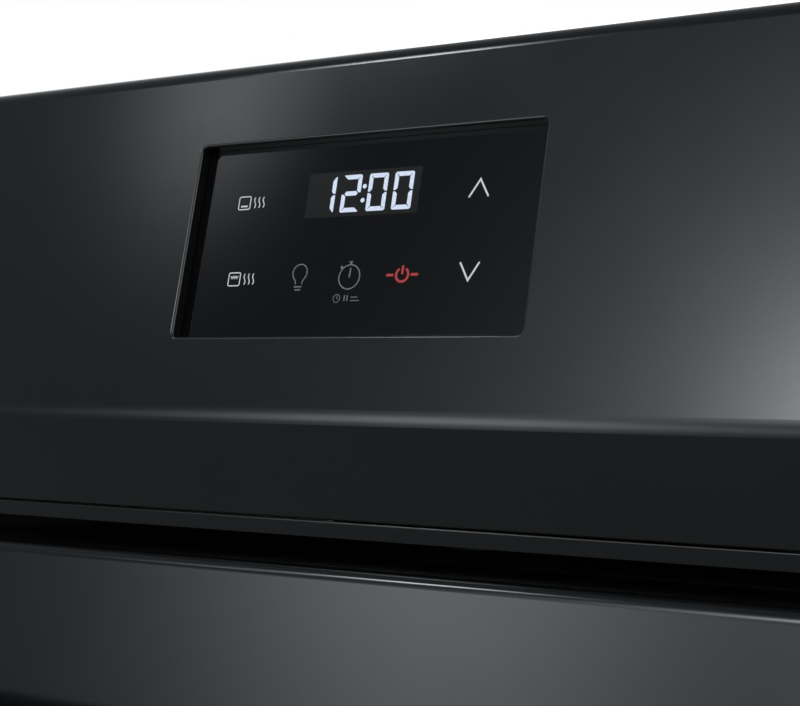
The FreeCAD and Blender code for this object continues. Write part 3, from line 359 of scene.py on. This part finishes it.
# ---- mesh helpers ------------------------------------------------------------------
def mesh_piece(name, verts, faces, material, body):
    """New flat-shaded mesh object that rides on a body."""
    mesh = bpy.data.meshes.new(name)
    mesh.from_pydata([tuple(v) for v in verts], [], faces)
    mesh.update()
    bm = bmesh.new()
    bm.from_mesh(mesh)
    bmesh.ops.remove_doubles(bm, verts=bm.verts, dist=1e-7)
    bmesh.ops.recalc_face_normals(bm, faces=bm.faces)
    bm.to_mesh(mesh)
    bm.free()
    mesh.materials.append(material)
    piece = bpy.data.objects.new(name, mesh)
    bpy.context.scene.collection.objects.link(piece)
    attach(piece, body)
    return piece


def rounded(points, radius, steps=4):
    """Closed 2D outline with each corner drawn as an arc."""
    result = []
    count = len(points)
    for i, corner in enumerate(points):
        corner = Vector(corner)
        back = (Vector(points[i - 1]) - corner).normalized()
        ahead = (Vector(points[(i + 1) % count]) - corner).normalized()
        half = back.angle(ahead) / 2
        middle = (back + ahead).normalized()
        centre = corner + middle * (radius / math.sin(half))
        start = corner + back * (radius / math.tan(half)) - centre
        end = corner + ahead * (radius / math.tan(half)) - centre
        sweep = start.angle_signed(end)
        for k in range(steps + 1):
            turn = Matrix.Rotation(-sweep * k / steps, 2)
            result.append(centre + turn @ start)
    return result


def rectangle(left, right, low, high, radius):
    """Rounded rectangle as a closed 2D outline."""
    corners = [(left, low), (right, low), (right, high), (left, high)]
    return [(point.x, point.y) for point in rounded(corners, radius)]


# ---- clock digits and key symbols on the panel glass ------------------------------
PRINT_BACK = GLASS_DEPTH - 0.02 * MM
PRINT_FRONT = GLASS_DEPTH - 0.10 * MM
# the screen prints below carry a painted glow; only the lit segment is a real light
WHITE_PRINT_PAINTED_GLOW = printed("white_print_painted_glow", (0.62, 0.62, 0.62), 0.25)
GREY_PRINT_PAINTED_GLOW = printed("grey_print_painted_glow", (0.135, 0.145, 0.150), 0.20)
DIM_PRINT_PAINTED_GLOW = printed("dim_print_painted_glow", (0.105, 0.110, 0.112), 0.20)
RED_PRINT_PAINTED_GLOW = printed("red_print_painted_glow", (0.45, 0.018, 0.020), 0.15)
LIT_SEGMENT = printed("lit_segment", (0.68, 0.74, 0.88), 0.30)

MITRE_LIMIT = 0.35          # least cosine of half a turn, so that sharp corners stay short
# places on the panel below are in millimetres across from its middle and up from the bend
FINE_STROKE = 0.28
STROKE = 0.42
KEY_STROKE = 0.72
BOLD_STROKE = 0.95


def offset_outline(points, width, closed):
    """Left and right points of a line of even width, mitred at its corners."""
    count = len(points)
    left = []
    right = []
    for i, point in enumerate(points):
        here = Vector(point)
        before = Vector(points[i - 1]) if (i > 0 or closed) else None
        after = Vector(points[(i + 1) % count]) if (i < count - 1 or closed) else None
        into = (here - before).normalized() if before is not None else (after - here).normalized()
        away = (after - here).normalized() if after is not None else into
        along = (into + away).normalized()
        side = Vector((-along.y, along.x))
        reach = width / 2 / max(MITRE_LIMIT, side.dot(Vector((-into.y, into.x))))
        left.append(here + side * reach)
        right.append(here - side * reach)
    return left, right


def line_quads(points, width, closed=False):
    """Flat four-sided pieces of a line of even width."""
    left, right = offset_outline(points, width, closed)
    count = len(points)
    quads = []
    for i in range(count if closed else count - 1):
        j = (i + 1) % count
        quads.append([left[i], right[i], right[j], left[j]])
    return quads


def arc_points(centre, radius, start, end, steps=28):
    """Points on an arc, angles in degrees from +X."""
    result = []
    for i in range(steps + 1):
        angle = math.radians(start + (end - start) * i / steps)
        result.append((centre[0] + radius * math.cos(angle), centre[1] + radius * math.sin(angle)))
    return result


def circle_points(centre, radius, steps=36):
    """Closed circle."""
    return arc_points(centre, radius, 0, 360, steps)[:-1]


def print_piece(name, polygons, material, depths=(PRINT_FRONT, PRINT_BACK)):
    """Thin raised print on the glass, from flat polygons."""
    verts = []
    faces = []
    for polygon in polygons:
        count = len(polygon)
        base = len(verts)
        for depth in depths:
            for x, up in polygon:
                verts.append(face_point(x * MM, up * MM, depth))
        faces.append([base + i for i in range(count)])
        faces.append([base + count + i for i in reversed(range(count))])
        for i in range(count):
            j = (i + 1) % count
            faces.append([base + i, base + count + i, base + count + j, base + j])
    mesh_piece(name, verts, faces, material, "oven")


# seven-segment digits: which of the segments a..g are lit
SEGMENTS = {"0": "abcdef", "1": "bc", "2": "abged"}
DIGIT_WIDTH = 8.5
DIGIT_HEIGHT = 14.7
BAR = 1.75                  # thickness of a segment
GAP = 0.28
NIB = 0.3                   # small bevel at a segment's outer ends
CLOCK_LOW = 79.5            # foot of the digits
CLOCK_PLACES = (("1", -21.5), ("2", -10.0), ("0", 1.8), ("0", 13.2))
COLON_DOTS = ((0.05, 89.4), (-0.05, 83.9))
DOT_RADIUS = 0.9


def segment(which):
    """Outline of one segment with mitred ends, in a digit's own corner frame."""
    w = DIGIT_WIDTH
    h = DIGIT_HEIGHT
    m = h / 2
    t = BAR
    g = GAP
    u = t / 2
    n = NIB
    shapes = {
        "a": [(g + n, h), (w - g - n, h), (w - g, h - n), (w - t - g, h - t), (t + g, h - t),
              (g, h - n)],
        "d": [(g, n), (t + g, t), (w - t - g, t), (w - g, n), (w - g - n, 0), (g + n, 0)],
        "g": [(t * 0.55 + g, m), (t + g, m + u), (w - t - g, m + u), (w - t * 0.55 - g, m),
              (w - t - g, m - u), (t + g, m - u)],
        "f": [(0, m + g), (0, h - g - n), (n, h - g), (t, h - t - g), (t, m + u + g), (u, m + g)],
        "b": [(w, m + g), (w - u, m + g), (w - t, m + u + g), (w - t, h - t - g), (w - n, h - g),
              (w, h - g - n)],
        "e": [(0, m - g), (u, m - g), (t, m - u - g), (t, t + g), (n, g), (0, g + n)],
        "c": [(w, m - g), (w, g + n), (w - n, g), (w - t, t + g), (w - t, m - u - g),
              (w - u, m - g)],
    }
    return shapes[which]


def clock_digits():
    """Lit clock reading with its colon."""
    for index, (digit, left) in enumerate(CLOCK_PLACES):
        polygons = []
        for which in SEGMENTS[digit]:
            polygons.append([(left + x, CLOCK_LOW + y) for x, y in segment(which)])
        print_piece("clock_digit_%d" % (index + 1), polygons, LIT_SEGMENT)
    dots = [circle_points(place, DOT_RADIUS, 16) for place in COLON_DOTS]
    print_piece("clock_colon", dots, LIT_SEGMENT)


def display_window():
    """Faintly lighter window of the clock display, just behind the digits."""
    outline = rectangle(-26.1, 24.8, 77.9, 95.8, 0.5)
    material, tree, shader = new_material("display_window")
    mesh_pattern = noise(tree, coordinates(tree), 1400.0, 1.0)
    dark, light = (0.0024, 0.0026, 0.0026), (0.0036, 0.0038, 0.0038)
    colour_by(tree, shader, mesh_pattern, [(0.3, dark), (0.7, light)])
    shader.inputs["Roughness"].default_value = 0.22
    shader.inputs["Specular IOR Level"].default_value = 0.22
    depths = (GLASS_DEPTH - 0.018 * MM, GLASS_DEPTH - 0.005 * MM)
    print_piece("display_window", [outline], material, depths)


def chevron(name, points):
    """Thin arrow key with blunt round ends."""
    quads = line_quads(points, KEY_STROKE)
    quads += [circle_points(end, KEY_STROKE / 2, 12) for end in (points[0], points[-1])]
    print_piece(name, quads, WHITE_PRINT_PAINTED_GLOW)


def bulb_symbol():
    """Outline of a light bulb with two base lines."""
    centre = (-24.0, 56.4)
    arc = arc_points(centre, 3.3, -38, 218)
    body = [(-22.55, 51.9), (-22.25, 53.2)] + arc + [(-25.65, 53.2), (-25.4, 51.9)]
    quads = line_quads(body, STROKE)
    quads += line_quads([(-25.9, 50.9), (-22.4, 50.9)], 0.5)
    quads += line_quads([(-25.4, 49.7), (-22.8, 49.7)], 0.5)
    print_piece("lamp_symbol", quads, GREY_PRINT_PAINTED_GLOW)


def timer_symbol():
    """Stopwatch with its crown, side button and hand."""
    centre = (-1.0, 54.2)
    quads = line_quads(circle_points(centre, 4.65, 48), 0.45, True)
    quads += line_quads([(-1.0, 58.8), (-1.0, 60.1)], 0.9)
    quads += line_quads([(-1.8, 60.0), (-0.2, 60.0)], 0.5)
    quads += line_quads([(-5.3, 57.6), (-4.6, 58.3)], 0.95)
    quads += line_quads([(-1.0, 54.0), (-0.85, 57.6)], 0.55)
    print_piece("timer_symbol", quads, GREY_PRINT_PAINTED_GLOW)


def hold_symbol():
    """Small clock face with two pause bars and two short rules beside it."""
    centre = (-5.4, 46.0)
    quads = line_quads(circle_points(centre, 1.5, 28), FINE_STROKE, True)
    quads += line_quads([(-5.4, 47.05), (-5.4, 45.95), (-4.55, 45.95)], 0.26)
    for x in (-1.9, -0.6):
        quads += line_quads([(x, 44.9), (x, 47.2)], 0.5)
    quads += line_quads([(0.9, 45.05), (4.9, 45.05)], 0.36)
    quads += line_quads([(0.9, 46.35), (3.9, 46.35)], 0.36)
    print_piece("hold_symbol", quads, DIM_PRINT_PAINTED_GLOW)


def off_symbol():
    """Standby mark between two short bars."""
    centre = (22.3, 54.4)
    quads = line_quads(arc_points(centre, 2.6, 122, 418), BOLD_STROKE)
    quads += line_quads([(22.3, 54.6), (22.3, 57.9)], BOLD_STROKE)
    for x in (15.4, 26.0):
        quads += line_quads([(x, 54.4), (x + 3.2, 54.4)], 1.0)
    print_piece("off_symbol", quads, RED_PRINT_PAINTED_GLOW)


def oven_outline(x, low):
    """Small oven pictogram: a rounded square."""
    return line_quads(rectangle(x, x + 5.6, low, low + 5.2, 0.7), STROKE, True)


WAVE_COUNT = 3
WAVE_PITCH = 2.1
WAVE_SWING = 0.42
WAVE_TALL = 4.3
WAVE_STEPS = 12


def heat_waves(x, low):
    """Row of short wavy strokes."""
    quads = []
    for i in range(WAVE_COUNT):
        middle = x + i * WAVE_PITCH
        points = []
        for k in range(WAVE_STEPS + 1):
            t = k / WAVE_STEPS
            points.append((middle + WAVE_SWING * math.sin(math.tau * t), low + 0.4 + WAVE_TALL * t))
        quads += line_quads(points, STROKE)
    return quads


def bake_symbol():
    """Oven pictogram with its lower heater marked, and rising heat."""
    low = 83.0
    quads = oven_outline(-59.0, low)
    quads += line_quads([(-57.8, low + 1.25), (-54.6, low + 1.25)], 0.62)
    quads += heat_waves(-51.1, low)
    print_piece("bake_symbol", quads, WHITE_PRINT_PAINTED_GLOW)


def broil_symbol():
    """Oven pictogram with its upper heater marked as a zigzag, and falling heat."""
    low = 52.0
    quads = oven_outline(-58.2, low)
    zigzag = [(-57.2 + 0.6 * i, low + (3.9 if i % 2 == 0 else 2.9)) for i in range(7)]
    quads += line_quads(zigzag, 0.34)
    quads += heat_waves(-50.3, low)
    print_piece("broil_symbol", quads, WHITE_PRINT_PAINTED_GLOW)


def panel_print():
    """Everything that shows on the touch glass."""
    display_window()
    clock_digits()
    chevron("up_key", [(46.4, 82.8), (50.3, 89.2), (54.2, 82.8)])
    chevron("down_key", [(46.4, 58.1), (50.3, 51.6), (54.1, 58.0)])
    bulb_symbol()
    timer_symbol()
    hold_symbol()
    off_symbol()
    bake_symbol()
    broil_symbol()


CREASE = math.radians(28)


def smooth_cad_nodes():
    """Smooth shading over the fine facets of the CAD meshes, with true creases kept."""
    for node in frame["nodes"].values():
        node.data.shade_smooth()
        node.data.set_sharp_from_angle(angle=CREASE)
        weigh = node.modifiers.new("weigh", "WEIGHTED_NORMAL")
        weigh.keep_sharp = True


# ---- stage, light and camera -----------------------------------------------------
CAMERA_PLACE = Vector((354.5, -548, 621)) * MM
CAMERA_YAW = math.radians(33.3)
CAMERA_LENS = 75.47

FLOOR_SIZE = 10
FLOOR_MIDDLE = (0, 3.7, -0.0005)        # its near edge stays clear of the door's reflection
FLOOR_LIFT = 0.50                       # own light of the floor, for the eye only

# soft lamps: name, place, aim, side of the square, watts
LAMPS = (
    ("top_lamp", (0.3, 0.9, 2.6), (0, 0.3, 0.5), 1.2, 12),
    ("rear_lamp", (-0.9, 2.4, 1.6), (0, 0.4, 0.4), 1.4, 15),
    ("side_lamp", (2.2, 0.4, 1.4), (0, 0.2, 0.4), 1.2, 20),
)


def area_light(name, place, aim, side, power):
    """Soft square lamp pointed at a place."""
    data = bpy.data.lights.new(name, "AREA")
    data.size = side
    data.energy = power
    lamp = bpy.data.objects.new(name, data)
    bpy.context.scene.collection.objects.link(lamp)
    lamp.location = place
    lamp.rotation_euler = (Vector(aim) - Vector(place)).to_track_quat("-Z", "Y").to_euler()


# soft glows of the surround: azimuth from -Y towards +X, elevation and half-widths across and up,
# in degrees, then brightness
GLOWS = (
    (-44.0, 40.0, 1.5, 2.5, 29.0),      # key, mirrored above the control window
    (-46.0, 30.0, 1.5, 3.0, 3.0),       # soft foot of the key
    (-10.0, 22.0, 9.0, 8.0, 7.0),       # broad panel, mirrored at the right of the fascia
    (-18.0, 24.0, 3.0, 3.0, 8.0),       # near edge of the panel
    (-31.5, -4.0, 5.5, 9.0, 3.6),       # low panel, mirrored in the door
    (-14.0, -9.0, 5.0, 7.0, 1.7),       # weaker low panel beside it
    (80.0, 30.0, 25.0, 20.0, 1.6),      # fill for the right side
    (150.0, 45.0, 30.0, 22.0, 0.9),     # fill for the back and lid
    (-130.0, 20.0, 28.0, 18.0, 0.7),    # fill for the left side
)
AMBIENT = 0.23
SURROUND_TINT = (0.79, 0.84, 0.875, 1)  # slightly cool


def dot_with(tree, vector, direction):
    """Dot product of a vector with a fixed direction."""
    node = tree.nodes.new("ShaderNodeVectorMath")
    node.operation = "DOT_PRODUCT"
    node.inputs[1].default_value = direction
    tree.links.new(vector, node.inputs[0])
    return node.outputs["Value"]


def glow(tree, vector, azimuth, elevation, wide, tall, brightness):
    """Bell-shaped patch of light around a direction of the sky."""
    turn = math.radians(azimuth)
    lift = math.radians(elevation)
    flat = math.cos(lift)
    ahead = Vector((math.sin(turn) * flat, -math.cos(turn) * flat, math.sin(lift)))
    across = Vector((math.cos(turn), math.sin(turn), 0.0))
    above = across.cross(ahead)
    total = 0.0
    for axis, width in ((across, wide), (above, tall)):
        offset = dot_with(tree, vector, axis)
        square = math_node(tree, "MULTIPLY", offset, offset)
        steep = 0.5 / math.radians(width) ** 2
        total = math_node(tree, "ADD", total, math_node(tree, "MULTIPLY", square, steep))
    fall = math_node(tree, "EXPONENT", math_node(tree, "MULTIPLY", total, -1.0), 0.0)
    facing = math_node(tree, "MAXIMUM", dot_with(tree, vector, ahead), 0.0)
    return math_node(tree, "MULTIPLY", math_node(tree, "MULTIPLY", fall, facing), brightness)


def build_world():
    """White surround for the eye, dim surround with soft glows for the light."""
    world = bpy.data.worlds.new("studio")
    bpy.context.scene.world = world
    world.use_nodes = True
    tree = world.node_tree
    tree.nodes.clear()
    output = tree.nodes.new("ShaderNodeOutputWorld")
    source = tree.nodes.new("ShaderNodeTexCoord")
    total = AMBIENT
    for patch in GLOWS:
        total = math_node(tree, "ADD", total, glow(tree, source.outputs["Generated"], *patch))
    lit = tree.nodes.new("ShaderNodeBackground")
    lit.inputs["Color"].default_value = SURROUND_TINT
    tree.links.new(total, lit.inputs["Strength"])
    seen = tree.nodes.new("ShaderNodeBackground")
    seen.inputs["Color"].default_value = (1, 1, 1, 1)
    path = tree.nodes.new("ShaderNodeLightPath")
    mix = tree.nodes.new("ShaderNodeMixShader")
    tree.links.new(path.outputs["Is Camera Ray"], mix.inputs["Fac"])
    tree.links.new(lit.outputs["Background"], mix.inputs[1])
    tree.links.new(seen.outputs["Background"], mix.inputs[2])
    tree.links.new(mix.outputs["Shader"], output.inputs["Surface"])


def floor_material():
    """Pale floor for the eye, darker in reflections so that the black paint stays black."""
    material, tree, shader = new_material("studio_floor")
    cloud = noise(tree, coordinates(tree), 3.0)
    pale = ramp(tree, cloud, [(0.3, (0.70, 0.70, 0.70)), (0.7, (0.74, 0.74, 0.74))])
    quiet = ramp(tree, cloud, [(0.3, (0.19, 0.19, 0.19)), (0.7, (0.22, 0.22, 0.22))])
    to_eye = tree.nodes.new("ShaderNodeLightPath").outputs["Is Camera Ray"]
    mix = tree.nodes.new("ShaderNodeMix")
    mix.data_type = "RGBA"
    tree.links.new(to_eye, mix.inputs["Factor"])
    tree.links.new(quiet, mix.inputs["A"])
    tree.links.new(pale, mix.inputs["B"])
    tree.links.new(mix.outputs["Result"], shader.inputs["Base Color"])
    lift = math_node(tree, "MULTIPLY", to_eye, FLOOR_LIFT)
    shader.inputs["Emission Color"].default_value = (1, 1, 1, 1)
    tree.links.new(lift, shader.inputs["Emission Strength"])
    shader.inputs["Roughness"].default_value = 0.8
    return material


def build_stage():
    """Pale floor and soft lamps."""
    bpy.ops.mesh.primitive_plane_add(size=FLOOR_SIZE, location=FLOOR_MIDDLE)
    floor = bpy.context.object
    floor.name = "studio_floor"
    floor.data.materials.append(floor_material())
    for lamp in LAMPS:
        area_light(*lamp)


def build_camera():
    """Level camera in front of the control panel, to its right."""
    data = bpy.data.cameras.new("camera")
    data.lens = CAMERA_LENS
    data.sensor_width = 36.0
    data.clip_start = 0.01
    camera = bpy.data.objects.new("camera", data)
    bpy.context.scene.collection.objects.link(camera)
    camera.location = CAMERA_PLACE
    camera.rotation_euler = (math.radians(90), 0, CAMERA_YAW)
    bpy.context.scene.camera = camera
    bpy.context.scene.view_settings.view_transform = "Standard"


dress_cad_nodes()
smooth_cad_nodes()
panel_print()
build_stage()
build_world()
build_camera()
